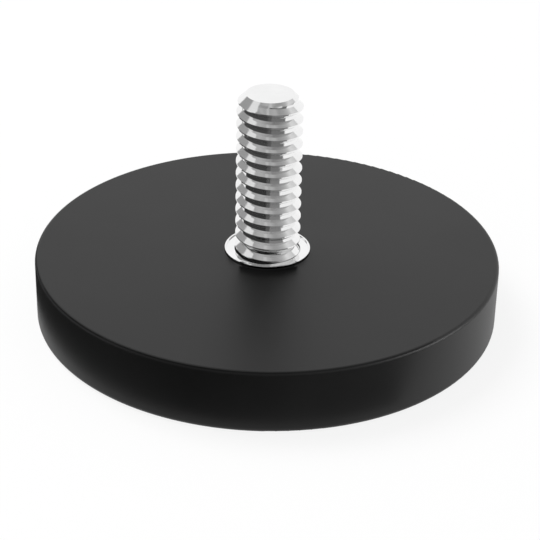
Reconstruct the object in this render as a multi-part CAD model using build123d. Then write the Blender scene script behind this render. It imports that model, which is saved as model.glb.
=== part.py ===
from build123d import *
from build123d.topology import SkipClean
import math
import os

# Pot magnet with a moulded rubber jacket and a threaded stud, standing on its holding face.
# Millimetres, +Z up, origin at the centre of the holding face.

# Rubber jacket
jacket_diameter = 45.0
jacket_height = 6.3
jacket_top_round = 0.38
jacket_bottom_round = 0.55
floor_skin = 0.6
side_wall = 2.0

# Magnets, a ring of discs between the floor skin and the plate
magnet_count = 6
magnet_diameter = 11.0
magnet_thickness = 3.0
magnet_circle_diameter = 27.0

# Steel plate that closes the field of all the magnets
plate_thickness = 1.5

# Bush staked into the plate, with a dished collar round the stud
collar_diameter = 8.3
collar_stand = 0.32
rim_width = 0.15
rim_slope = 0.05
dish_depth = 0.14
spigot_diameter = 7.0
staked_lip_diameter = 8.6
staked_lip_height = 0.6
staked_lip_chamfer = 0.2
mouth_depth = 0.6

# Stud
thread_diameter = 6.3
thread_pitch = 1.27
thread_is_left_hand = True
thread_depth = 0.50
thread_crest_width = 0.11
thread_flank_angle = 40.0
thread_phase_height = 1.305
shank_diameter = 5.9
stud_reach = 16.48
end_diameter = 4.6
end_chamfer_angle = 43.0

# Clearances
thread_to_mouth = 0.05
groove_overcut = 0.035
crest_bands = 6
first_band_turn = 10.0

# Places that follow from the sizes
plate_bottom = floor_skin + magnet_thickness
plate_top = plate_bottom + plate_thickness
plate_diameter = jacket_diameter - 2 * side_wall
bush_bottom = plate_bottom - staked_lip_height
rim_top = jacket_height + collar_stand
dish_face = rim_top - dish_depth
crest_radius = thread_diameter / 2
root_radius = crest_radius - thread_depth
mouth_radius = crest_radius + thread_to_mouth
stud_top = jacket_height + stud_reach


def turned(points, degrees=360.0):
    """A half section of radius and height pairs, turned about the stud's axis."""
    outline = Plane.XZ * Polyline(*points, close=True)
    return revolve(make_face(outline), Axis.Z, degrees)


def disc(diameter, bottom, height):
    """A flat round disc, standing on the height called bottom."""
    return Pos(0, 0, bottom) * Cylinder(diameter / 2, height, align=(Align.CENTER, Align.CENTER, Align.MIN))


def magnet_places():
    return PolarLocations(magnet_circle_diameter / 2, magnet_count)


def magnets():
    """Flat discs at even steps round the stud, on the floor skin."""
    blank = disc(magnet_diameter, floor_skin, magnet_thickness)
    return [place * blank for place in magnet_places()]


def steel_plate():
    """Round plate on the magnets, bored for the bush's spigot."""
    plate = disc(plate_diameter, plate_bottom, plate_thickness)
    return plate - disc(spigot_diameter, plate_bottom, plate_thickness)


def bush_envelope():
    """The bush without its bore: staked lip, spigot and collar."""
    lip = disc(staked_lip_diameter, bush_bottom, staked_lip_height)
    lip = chamfer(lip.edges().group_by(Axis.Z)[0], staked_lip_chamfer)
    spigot = disc(spigot_diameter, plate_bottom, plate_thickness)
    collar = disc(collar_diameter, plate_top, rim_top - plate_top)
    return lip + spigot + collar


def bush():
    """Turned bush with a dished face, a wide bore mouth and a bore that holds the shank."""
    dish_radius = collar_diameter / 2 - rim_width
    dish = turned([
        (0, dish_face),
        (dish_radius - rim_slope, dish_face),
        (dish_radius, rim_top),
        (0, rim_top),
    ])
    mouth = disc(2 * mouth_radius, dish_face - mouth_depth, mouth_depth)
    bore = disc(shank_diameter, bush_bottom, rim_top - bush_bottom)
    return bush_envelope() - dish - mouth - bore


def rubber_jacket(inserts):
    """Moulded coat over the plate and the magnets, open only round the collar."""
    coat = disc(jacket_diameter, 0, jacket_height)
    coat = fillet(coat.edges().group_by(Axis.Z)[-1], jacket_top_round)
    coat = fillet(coat.edges().group_by(Axis.Z)[0], jacket_bottom_round)
    for insert in inserts:
        coat -= insert
    return coat


def thread_groove():
    """Helical groove, one turn after another, from under the dished face to over the stud's end."""
    flank_slope = math.tan(math.radians(thread_flank_angle))
    outer_radius = crest_radius + groove_overcut
    half_outer = (thread_pitch - thread_crest_width) / 2 + groove_overcut * flank_slope
    half_root = half_outer - (outer_radius - root_radius) * flank_slope
    section = Plane.XZ * Polyline(
        (root_radius, -half_root),
        (outer_radius, -half_outer),
        (outer_radius, half_outer),
        (root_radius, half_root),
        close=True,
    )
    path = Helix(thread_pitch, thread_pitch, crest_radius, lefthand=thread_is_left_hand)
    turn = sweep(make_face(section), path=path, is_frenet=True)
    groove_height = jacket_height + thread_phase_height + thread_pitch / 2
    first = math.floor((dish_face - groove_height) / thread_pitch) - 1
    last = math.ceil((stud_top - groove_height) / thread_pitch) + 1
    return [Pos(0, 0, groove_height + step * thread_pitch) * turn for step in range(first, last)]


def end_chamfer():
    """The ring that is turned away round the stud's free end."""
    outside = crest_radius + 2 * groove_overcut
    drop = (outside - end_diameter / 2) * math.tan(math.radians(end_chamfer_angle))
    return turned([
        (end_diameter / 2, stud_top),
        (outside, stud_top - drop),
        (outside, stud_top),
    ])


def banded_rod():
    """Rod from the dished face to the free end, whose side is parted into upright bands."""
    band_angle = 360.0 / crest_bands
    band = turned([
        (0, dish_face),
        (crest_radius, dish_face),
        (crest_radius, stud_top),
        (0, stud_top),
    ], band_angle)
    rod = band
    for step in range(1, crest_bands):
        rod = rod + Rot(0, 0, step * band_angle) * band
    return Rot(0, 0, first_band_turn) * rod


def stud():
    """Threaded rod on a plain shank that fills the bush's bore."""
    rod = banded_rod().cut(*thread_groove()) - end_chamfer()
    shank = disc(shank_diameter, bush_bottom, dish_face - bush_bottom)
    return rod + shank


def write(node, shape):
    os.makedirs("parts", exist_ok=True)
    export_step(shape, os.path.join("parts", node + ".step"))


discs = magnets()
plate = steel_plate()

write("rubber_jacket", rubber_jacket([bush_envelope(), plate] + discs))
write("steel_plate", plate)
write("bush", bush())
for number, magnet in enumerate(discs, start=1):
    write(f"magnet_{number}", magnet)
with SkipClean():
    write("stud", stud())
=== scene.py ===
import math

import bmesh
import bpy
from mathutils import Matrix, Vector


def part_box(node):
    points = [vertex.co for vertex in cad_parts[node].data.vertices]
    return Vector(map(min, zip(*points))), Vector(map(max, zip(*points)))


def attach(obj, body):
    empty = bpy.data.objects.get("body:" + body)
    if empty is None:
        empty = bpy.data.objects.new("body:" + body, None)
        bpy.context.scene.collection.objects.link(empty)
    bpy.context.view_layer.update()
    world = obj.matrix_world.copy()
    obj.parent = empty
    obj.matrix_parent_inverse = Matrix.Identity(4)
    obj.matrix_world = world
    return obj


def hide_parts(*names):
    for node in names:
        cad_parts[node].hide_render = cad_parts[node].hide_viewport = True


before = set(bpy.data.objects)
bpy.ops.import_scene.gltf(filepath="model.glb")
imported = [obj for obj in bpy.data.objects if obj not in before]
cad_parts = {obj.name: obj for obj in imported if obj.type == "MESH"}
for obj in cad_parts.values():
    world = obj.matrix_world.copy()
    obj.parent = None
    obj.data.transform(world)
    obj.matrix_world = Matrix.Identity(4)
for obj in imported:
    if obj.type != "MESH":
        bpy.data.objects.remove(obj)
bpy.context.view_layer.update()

# The pot magnet's looks: a smooth black rubber coat, a bright dished collar and a bright threaded stud.
# Metres, in the part's own frame: +Z up, origin at the centre of the holding face. Angles are in degrees.
mm = 0.001

# Sizes that the frame gives
_, jacket_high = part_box("rubber_jacket")
_, bush_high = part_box("bush")
stud_low, stud_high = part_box("stud")
jacket_radius = jacket_high.x
jacket_top = jacket_high.z
bush_radius = bush_high.x
rim_top = bush_high.z
crest_radius = stud_high.x
stud_bottom = stud_low.z
stud_top = stud_high.z

# The coat's rounded edges
top_round = 0.38 * mm
bottom_round = 0.55 * mm

# The stud's thread and ends
thread_pitch = 1.27 * mm
thread_hand = -1
thread_depth = 0.50 * mm
thread_crest_width = 0.11 * mm
thread_flank_angle = 40.0
thread_phase_height = 1.305 * mm
thread_start = 5.88 * mm
shank_radius = 2.95 * mm
end_radius = 2.30 * mm
end_chamfer_angle = 43.0

# How the stud's surface is divided
steps_round = 192
flank_rows = 6
crest_rows = 2
root_rows = 3
least_radius = 0.2 * mm
weld_distance = 0.0005 * mm
crisp_edge_angle = 24.0

# Noise keeps near its middle: these two values are about its lowest and highest
noise_low = 0.3
noise_high = 0.7


class Signal:
    """A socket of a finish. Arithmetic on signals adds the nodes that work it out."""

    def __init__(self, tree, socket):
        self.tree = tree
        self.socket = socket

    def maths(self, operation, first, second):
        return add_node(self.tree, "ShaderNodeMath", {"operation": operation}, {0: first, 1: second})

    def __add__(self, other):
        return self.maths("ADD", self, other)

    def __radd__(self, other):
        return self.maths("ADD", other, self)

    def __sub__(self, other):
        return self.maths("SUBTRACT", self, other)

    def __rsub__(self, other):
        return self.maths("SUBTRACT", other, self)

    def __mul__(self, other):
        return self.maths("MULTIPLY", self, other)

    def __rmul__(self, other):
        return self.maths("MULTIPLY", other, self)

    def __truediv__(self, other):
        return self.maths("DIVIDE", self, other)

    def __rtruediv__(self, other):
        return self.maths("DIVIDE", other, self)

    def __gt__(self, other):
        return self.maths("GREATER_THAN", self, other)

    def __lt__(self, other):
        return self.maths("LESS_THAN", self, other)

    def at_least(self, other):
        return self.maths("MAXIMUM", self, other)


def add_node(tree, kind, settings=None, inputs=None, output=0):
    """Any node: its settings first, then the numbers or links of its sockets."""
    node = tree.nodes.new(kind)
    for name, value in (settings or {}).items():
        if name == "stops":
            set_stops(node.color_ramp, value)
        else:
            setattr(node, name, value)
    for name, value in (inputs or {}).items():
        if isinstance(value, Signal):
            tree.links.new(value.socket, node.inputs[name])
        else:
            node.inputs[name].default_value = value
    return Signal(tree, node.outputs[output]) if node.outputs else None


def set_stops(ramp, stops):
    """Grey stops of a ramp, as pairs of place and level."""
    while len(ramp.elements) < len(stops):
        ramp.elements.new(1.0)
    for element, (place, level) in zip(ramp.elements, stops):
        element.position = place
        element.color = grey(level)


def grey(level):
    return (level, level, level, 1.0)


def new_tree(holder):
    """The empty node tree of a material or a world."""
    holder.use_nodes = True
    holder.node_tree.nodes.clear()
    return holder.node_tree


def place_on_part(tree):
    return add_node(tree, "ShaderNodeTexCoord", output="Object")


def height_of(place):
    return add_node(place.tree, "ShaderNodeSeparateXYZ", inputs={"Vector": place}, output="Z")


def finish_material(name, constants, changing):
    """A Principled finish from its constant values and from what changing works out of a place."""
    material = bpy.data.materials.new(name)
    tree = new_tree(material)
    inputs = {**constants, **changing(place_on_part(tree))}
    shader = add_node(tree, "ShaderNodeBsdfPrincipled", inputs=inputs)
    add_node(tree, "ShaderNodeOutputMaterial", inputs={"Surface": shader})
    return material


def noise(place, scale, detail=2.0):
    """Cloudy noise. Its scale is in clouds to the metre."""
    inputs = {"Vector": place, "Scale": scale, "Detail": detail, "Roughness": 0.55}
    return add_node(place.tree, "ShaderNodeTexNoise", {"noise_dimensions": "3D"}, inputs, "Fac")


def spread(signal, low, high):
    """Noise about its middle, brought to run from low to high."""
    inputs = {"Value": signal, "From Min": noise_low, "From Max": noise_high, "To Min": low, "To Max": high}
    return add_node(signal.tree, "ShaderNodeMapRange", {"clamp": True}, inputs)


def greys_between(signal, darkest, lightest):
    inputs = {0: spread(signal, 0.0, 1.0), 6: grey(darkest), 7: grey(lightest)}
    return add_node(signal.tree, "ShaderNodeMix", {"data_type": "RGBA"}, inputs, 2)


def bump(height, strength, distance, facing=None):
    """Fine relief, on the way that the mesh faces or on another one that is given."""
    inputs = {"Height": height, "Strength": strength, "Distance": distance}
    if facing is not None:
        inputs["Normal"] = facing
    return add_node(height.tree, "ShaderNodeBump", inputs=inputs)


def vector_maths(operation, inputs, output="Vector"):
    return add_node(inputs[0].tree, "ShaderNodeVectorMath", {"operation": operation}, inputs, output)


def level_way(place):
    """The level part of the way from the axis to a place, and its length."""
    across = vector_maths("MULTIPLY", {0: place, 1: (1.0, 1.0, 0.0)})
    return across, vector_maths("LENGTH", {0: across}, "Value")


def coat_direction(place):
    """The way the coat faces: exact at its side and its rounded edges, and the mesh's own elsewhere."""
    across, out = level_way(place)
    up = height_of(place)
    upper_half = up > jacket_top / 2
    out_at_top = ((out - (jacket_radius - top_round)) / top_round).at_least(0.0)
    out_at_bottom = ((out - (jacket_radius - bottom_round)) / bottom_round).at_least(0.0)
    outward = out_at_top * upper_half + out_at_bottom * (1.0 - upper_half)
    rise = ((up - (jacket_top - top_round)) / top_round).at_least(0.0)
    fall = ((bottom_round - up) / bottom_round).at_least(0.0)
    sideways = vector_maths("SCALE", {0: vector_maths("NORMALIZE", {0: across}), "Scale": outward})
    upright = add_node(place.tree, "ShaderNodeCombineXYZ", inputs={"Z": rise - fall})
    exact = vector_maths("NORMALIZE", {0: vector_maths("ADD", {0: sideways, 1: upright})})
    to_world = {"vector_type": "NORMAL", "convert_from": "OBJECT", "convert_to": "WORLD"}
    exact = add_node(place.tree, "ShaderNodeVectorTransform", to_world, {"Vector": exact})
    own = add_node(place.tree, "ShaderNodeNewGeometry", output="Normal")
    near_edge = out > jacket_radius - bottom_round
    return add_node(place.tree, "ShaderNodeMix", {"data_type": "VECTOR"}, {0: near_edge, 4: own, 5: exact}, 1)


def rubber_finish():
    """Black moulded rubber with a satin sheen, a faint grain and slow cloudy changes of gloss."""
    def changing(place):
        clouds = noise(place, scale=90.0)
        grain = noise(place, scale=5200.0)
        return {
            "Base Color": greys_between(clouds, darkest=0.0044, lightest=0.0060),
            "Roughness": spread(clouds * 0.75 + grain * 0.25, low=0.41, high=0.46),
            "Normal": bump(grain, strength=0.06, distance=0.02 * mm, facing=coat_direction(place)),
        }
    return finish_material("moulded_rubber", {"Metallic": 0.0, "Specular IOR Level": 0.31}, changing)


def turned_steel_finish(name, level, marks_scale):
    """Bright steel with fine turning marks round the axis and a slight change of polish."""
    def changing(place):
        _, out = level_way(place)
        out_and_up = add_node(place.tree, "ShaderNodeCombineXYZ", inputs={"X": out, "Y": height_of(place)})
        marks = noise(out_and_up, marks_scale)
        polish = noise(place, scale=420.0)
        return {
            "Base Color": greys_between(polish, darkest=level - 0.02, lightest=level + 0.02),
            "Roughness": spread(marks * 0.5 + polish * 0.5, low=0.07, high=0.13),
            "Normal": bump(marks, strength=0.04, distance=0.004 * mm),
        }
    return finish_material(name, {"Metallic": 1.0}, changing)


def plated_finish(name, level, roughness):
    """Plain plated metal of the pieces inside the coat."""
    def changing(place):
        clouds = noise(place, scale=600.0, detail=3.0)
        return {
            "Base Color": greys_between(clouds, darkest=level - 0.05, lightest=level + 0.03),
            "Roughness": spread(clouds, low=roughness - 0.05, high=roughness + 0.08),
            "Normal": bump(clouds, strength=0.05, distance=0.01 * mm),
        }
    return finish_material(name, {"Metallic": 1.0}, changing)


def thread_turn():
    """One pitch of the thread's section, as pairs of height and radius from one crest's lower edge."""
    root_radius = crest_radius - thread_depth
    flank = thread_depth * math.tan(math.radians(thread_flank_angle))
    corners = [
        (-thread_crest_width / 2, crest_radius, crest_rows),
        (thread_crest_width / 2, crest_radius, flank_rows),
        (thread_crest_width / 2 + flank, root_radius, root_rows),
        (thread_pitch - thread_crest_width / 2 - flank, root_radius, flank_rows),
        (thread_pitch - thread_crest_width / 2, crest_radius, 0),
    ]
    rows = []
    for (low, inner, steps), (high, outer, _) in zip(corners, corners[1:]):
        for step in range(steps):
            share = step / steps
            rows.append((low + (high - low) * share, inner + (outer - inner) * share))
    return rows


def stud_radius(height, radius):
    """The thread's radius, kept to the shank below its start and to the chamfer at the free end."""
    if height < thread_start:
        return shank_radius
    chamfer = end_radius + (stud_top - height) / math.tan(math.radians(end_chamfer_angle))
    return max(min(radius, chamfer), least_radius)


def join_rows(form, first, second):
    """Faces between two rows of as many points."""
    for step in range(len(first) - 1):
        form.faces.new((first[step], second[step], second[step + 1], first[step + 1]))


def stud_mesh():
    """The stud as one closed surface, made too long and cut at both ends."""
    turn = thread_turn()
    base = jacket_top + thread_phase_height
    first = math.floor((stud_bottom - base) / thread_pitch) - 1
    last = math.ceil((stud_top - base) / thread_pitch) + 2
    form = bmesh.new()
    columns = []
    for step in range(steps_round + 1):
        angle = 2 * math.pi * step / steps_round
        rise = base + thread_hand * thread_pitch * step / steps_round
        column = []
        for count in range(first, last + 1):
            for height, radius in turn:
                z = rise + count * thread_pitch + height
                r = stud_radius(z, radius)
                column.append(form.verts.new((r * math.cos(angle), r * math.sin(angle), z)))
        columns.append(column)
    for left, right in zip(columns, columns[1:]):
        join_rows(form, left, right)
    bmesh.ops.remove_doubles(form, verts=form.verts, dist=weld_distance)
    for height, keep_above in ((stud_bottom, True), (stud_top, False)):
        whole = form.verts[:] + form.edges[:] + form.faces[:]
        bmesh.ops.bisect_plane(
            form, geom=whole, plane_co=(0, 0, height), plane_no=(0, 0, 1),
            clear_inner=keep_above, clear_outer=not keep_above)
    open_edges = [edge for edge in form.edges if edge.is_boundary]
    bmesh.ops.holes_fill(form, edges=open_edges, sides=0)
    bmesh.ops.recalc_face_normals(form, faces=form.faces)
    return form


def add_piece(name, form, material):
    mesh = bpy.data.meshes.new(name)
    form.to_mesh(mesh)
    form.free()
    mesh.materials.append(material)
    piece = bpy.data.objects.new(name, mesh)
    bpy.context.collection.objects.link(piece)
    return piece


def add_stud():
    """The threaded stud, smooth along its flanks and crisp at the edges of its crests and roots."""
    steel = turned_steel_finish("turned_stud_steel", level=0.88, marks_scale=9000.0)
    piece = add_piece("threaded_stud", stud_mesh(), steel)
    piece.data.shade_smooth()
    piece.data.set_sharp_from_angle(angle=math.radians(crisp_edge_angle))
    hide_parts("stud")
    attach(piece, "root")


def dress_node(node, material):
    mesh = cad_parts[node].data
    mesh.materials.clear()
    mesh.materials.append(material)


def dress_solids():
    """Finishes of the solids that stay. The steel mirrors the cards on the coat in place of the coat."""
    dress_node("rubber_jacket", rubber_finish())
    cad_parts["rubber_jacket"].visible_glossy = False
    dress_node("bush", turned_steel_finish("turned_collar_steel", level=0.90, marks_scale=6000.0))
    dress_node("steel_plate", plated_finish("rolled_plate_steel", level=0.50, roughness=0.35))
    nickel = plated_finish("nickel_plate", level=0.66, roughness=0.22)
    for node in sorted(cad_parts):
        if node.startswith("magnet_"):
            dress_node(node, nickel)


# The studio: a white floor and surround, and grey cards that only polished surfaces mirror
floor_radius = 3.0
floor_sides = 96
floor_grey = 0.86
floor_glow = 0.86
surround_light = 0.60
card_reach = 1.2
wall_card_steps = 24
low_card_steps = 48


def looked_at(tree):
    """One for what the camera, a mirror or glass looks at, nought for what only lights the part."""
    kinds = ("Is Camera Ray", "Is Glossy Ray", "Is Transmission Ray")
    camera, mirror, glass = [add_node(tree, "ShaderNodeLightPath", output=kind) for kind in kinds]
    return camera.at_least(mirror).at_least(glass)


def floor_finish():
    """White floor that keeps a soft shadow."""
    material = bpy.data.materials.new("white_floor")
    tree = new_tree(material)
    matte = add_node(tree, "ShaderNodeBsdfDiffuse", inputs={"Color": grey(floor_grey)})
    glow = add_node(tree, "ShaderNodeEmission", inputs={"Color": grey(1.0), "Strength": 1.0})
    mix = {0: looked_at(tree) * floor_glow, 1: matte, 2: glow}
    shader = add_node(tree, "ShaderNodeMixShader", inputs=mix)
    add_node(tree, "ShaderNodeOutputMaterial", inputs={"Surface": shader})
    return material


def card_finish(name, greys):
    """A card whose grey changes with its height above the floor, given as pairs of elevation and grey."""
    material = bpy.data.materials.new(name)
    tree = new_tree(material)
    share = height_of(place_on_part(tree)) / card_reach
    stops = [(math.sin(math.radians(elevation)), level) for elevation, level in greys]
    color = add_node(tree, "ShaderNodeValToRGB", {"stops": stops}, {"Fac": share}, "Color")
    shader = add_node(tree, "ShaderNodeEmission", inputs={"Color": color, "Strength": 1.0})
    add_node(tree, "ShaderNodeOutputMaterial", inputs={"Surface": shader})
    return material


def even_grey(level):
    return ((0, level), (90, level))


def add_card(name, form, greys):
    """A stage piece that only mirrors see: it neither shows nor lights nor shades the part."""
    card = add_piece(name, form, card_finish(name, greys))
    card.visible_camera = False
    card.visible_diffuse = False
    card.visible_shadow = False
    card.visible_transmission = False
    card.visible_volume_scatter = False


def even_steps(start, end, count):
    return [start + (end - start) * step / count for step in range(count + 1)]


def on_level(azimuth, reach, height):
    a = math.radians(azimuth)
    return (reach * math.cos(a), reach * math.sin(a), height)


def on_sphere(azimuth, elevation, radius=card_reach):
    e = math.radians(elevation)
    return on_level(azimuth, radius * math.cos(e), radius * math.sin(e))


def add_wall_card(name, azimuths, elevations, greys):
    """A curved card between two azimuths and two elevations, part of a large ball round the part."""
    form = bmesh.new()
    rows = []
    for elevation in even_steps(*elevations, wall_card_steps):
        places = [on_sphere(azimuth, elevation) for azimuth in even_steps(*azimuths, wall_card_steps)]
        rows.append([form.verts.new(place) for place in places])
    for low, high in zip(rows, rows[1:]):
        join_rows(form, low, high)
    add_card(name, form, greys)


def add_low_card(name, near, far, level):
    """A card between two level arcs, each given as height, reach, first azimuth and last azimuth."""
    form = bmesh.new()
    arcs = []
    for height, reach, start, end in (near, far):
        places = [on_level(azimuth, reach, height) for azimuth in even_steps(start, end, low_card_steps)]
        arcs.append([form.verts.new(place) for place in places])
    join_rows(form, *arcs)
    add_card(name, form, even_grey(level))


def add_floor():
    form = bmesh.new()
    bmesh.ops.create_circle(form, cap_ends=True, segments=floor_sides, radius=floor_radius)
    add_piece("floor", form, floor_finish())


def add_surround():
    """White all round to the camera and in mirrors, and a softer light on the part."""
    world = bpy.data.worlds.new("studio")
    bpy.context.scene.world = world
    tree = new_tree(world)
    strength = surround_light + looked_at(tree) * (1.0 - surround_light)
    shader = add_node(tree, "ShaderNodeBackground", inputs={"Color": grey(1.0), "Strength": strength})
    add_node(tree, "ShaderNodeOutputWorld", inputs={"Surface": shader})


# Low cards: height, reach, first azimuth and last azimuth of the near and the far arc, then grey level
on_floor = 0.05 * mm
on_coat = jacket_top - 0.05 * mm
floor_start = jacket_radius + 1.5 * mm
in_stud = 0.5 * mm
collar_side = 5.0 * mm
by_bush = bush_radius + 0.05 * mm
shade_top = rim_top + 0.45 * mm
low_cards = (
    # The floor cards are a painted reflection of a darker floor: only mirrors see them, in front of the part,
    # where the floor itself is white
    ("black_floor_card", (on_floor, floor_start, 168, 262), (on_floor, card_reach, 122, 262), 0.06),
    ("dark_floor_card", (on_floor, floor_start, 262, 275), (on_floor, card_reach, 262, 277), 0.10),
    ("grey_floor_card", (on_floor, floor_start, 275, 304), (on_floor, card_reach, 277, 356), 0.17),
    # collar_side_card and the black, dark, grey and white coat cards are a painted reflection of the coat:
    # the steel mirrors their greys in place of the coat itself
    ("collar_side_card", (on_coat, in_stud, 0, 360), (on_coat, collar_side, 0, 360), 0.01),
    # painted shade: a black card that only the coat's sheen and the collar mirror, darkening the coat just in
    # front of the collar, where the collar's shade falls
    ("collar_shade_card", (jacket_top, by_bush, 232, 312), (shade_top, by_bush, 232, 312), 0.0),
    ("black_coat_card", (on_coat, collar_side, 150, 262), (on_coat, jacket_radius, 168, 262), 0.04),
    ("dark_coat_card", (on_coat, collar_side, 262, 276), (on_coat, jacket_radius, 262, 276), 0.10),
    ("grey_coat_card", (on_coat, collar_side, 276, 330), (on_coat, jacket_radius, 276, 312), 0.22),
    ("white_coat_card", (on_coat, collar_side, 330, 510), (on_coat, jacket_radius, 312, 528), 0.95),
)

# Wall cards: first and last azimuth, first and last elevation, then the greys
# The wall cards are a painted reflection of the studio round the part, and their lighter bands are painted
# highlights in the steel
left_greys = ((0, 0.12), (4, 0.30), (9, 0.55), (20, 0.30), (60, 0.32), (70, 0.46), (78, 0.36))
middle_greys = ((0, 0.12), (4, 0.30), (9, 0.50), (20, 0.30), (60, 0.38), (70, 0.56), (78, 0.50))
right_greys = (
    (0, 0.10), (4, 0.20), (9, 0.40), (20, 0.55), (44, 0.75),
    (52, 0.46), (59, 0.36), (66, 0.32), (71, 0.46), (78, 0.36),
)
wall_cards = (
    ("front_left_card", (200, 262), (0, 90), left_greys),
    ("middle_card", (262, 284), (0, 90), middle_greys),
    ("front_right_card", (284, 398), (0, 90), right_greys),
    ("bright_left_card", (168, 200), (8, 90), even_grey(0.80)),
    ("left_card", (134, 168), (8, 55), even_grey(0.34)),
)

# The lamps: where they hang, how wide they are and how strong
key_place = (-0.5, 0.35, 0.9)
key_width = 0.6
key_power = 9.0
rim_place = on_sphere(353, 14, radius=0.9)
rim_width = 0.45
rim_power = 4.2


def add_softbox(name, place, width, power):
    """A square lamp that looks at the part and doesn't show itself."""
    lamp = bpy.data.lights.new(name, "AREA")
    lamp.shape = "SQUARE"
    lamp.size = width
    lamp.energy = power
    holder = bpy.data.objects.new(name, lamp)
    bpy.context.collection.objects.link(holder)
    holder.location = place
    holder.rotation_euler = Vector(place).to_track_quat("Z", "Y").to_euler()
    holder.visible_camera = False
    return holder


def light_only(lamp, node):
    """Keep a lamp's light, and so its gleam, to one solid."""
    lit = bpy.data.collections.new(lamp.name + "_lit")
    lit.objects.link(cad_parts[node])
    lamp.light_linking.receiver_collection = lit


def add_lamps():
    """A soft lamp behind the part's left, and a low one that gleams on the coat's right edge alone."""
    key = add_softbox("key_light", key_place, key_width, key_power)
    key.visible_glossy = False
    rim = add_softbox("rim_light", rim_place, rim_width, rim_power)
    light_only(rim, "rubber_jacket")


# The camera that the photograph was taken with, worked out from the outlines of the coat and the stud.
# Its heading is 0 when it looks along +Y, and its tilt is 0 when it looks straight down.
camera_place = (0.0, -150.88 * mm, 87.71 * mm)
camera_heading = -0.1150
camera_tilt = 60.9822
camera_roll = 1.2053
camera_lens = 117.26
sensor_width = 36.0


def turn_about(axis, angle):
    return Matrix.Rotation(math.radians(angle), 4, axis)


def add_camera():
    camera = bpy.data.cameras.new("camera")
    camera.lens = camera_lens
    camera.sensor_width = sensor_width
    camera.clip_start = 0.01
    camera.clip_end = 20.0
    holder = bpy.data.objects.new("camera", camera)
    bpy.context.collection.objects.link(holder)
    turn = turn_about("Z", camera_heading) @ turn_about("X", camera_tilt) @ turn_about("Z", camera_roll)
    holder.matrix_world = Matrix.Translation(camera_place) @ turn
    bpy.context.scene.camera = holder


add_camera()
add_stud()
dress_solids()
add_floor()
add_surround()
add_lamps()
for name, near, far, level in low_cards:
    add_low_card(name, near, far, level)
for name, azimuths, elevations, greys in wall_cards:
    add_wall_card(name, azimuths, elevations, greys)
bpy.context.scene.view_settings.view_transform = "Standard"
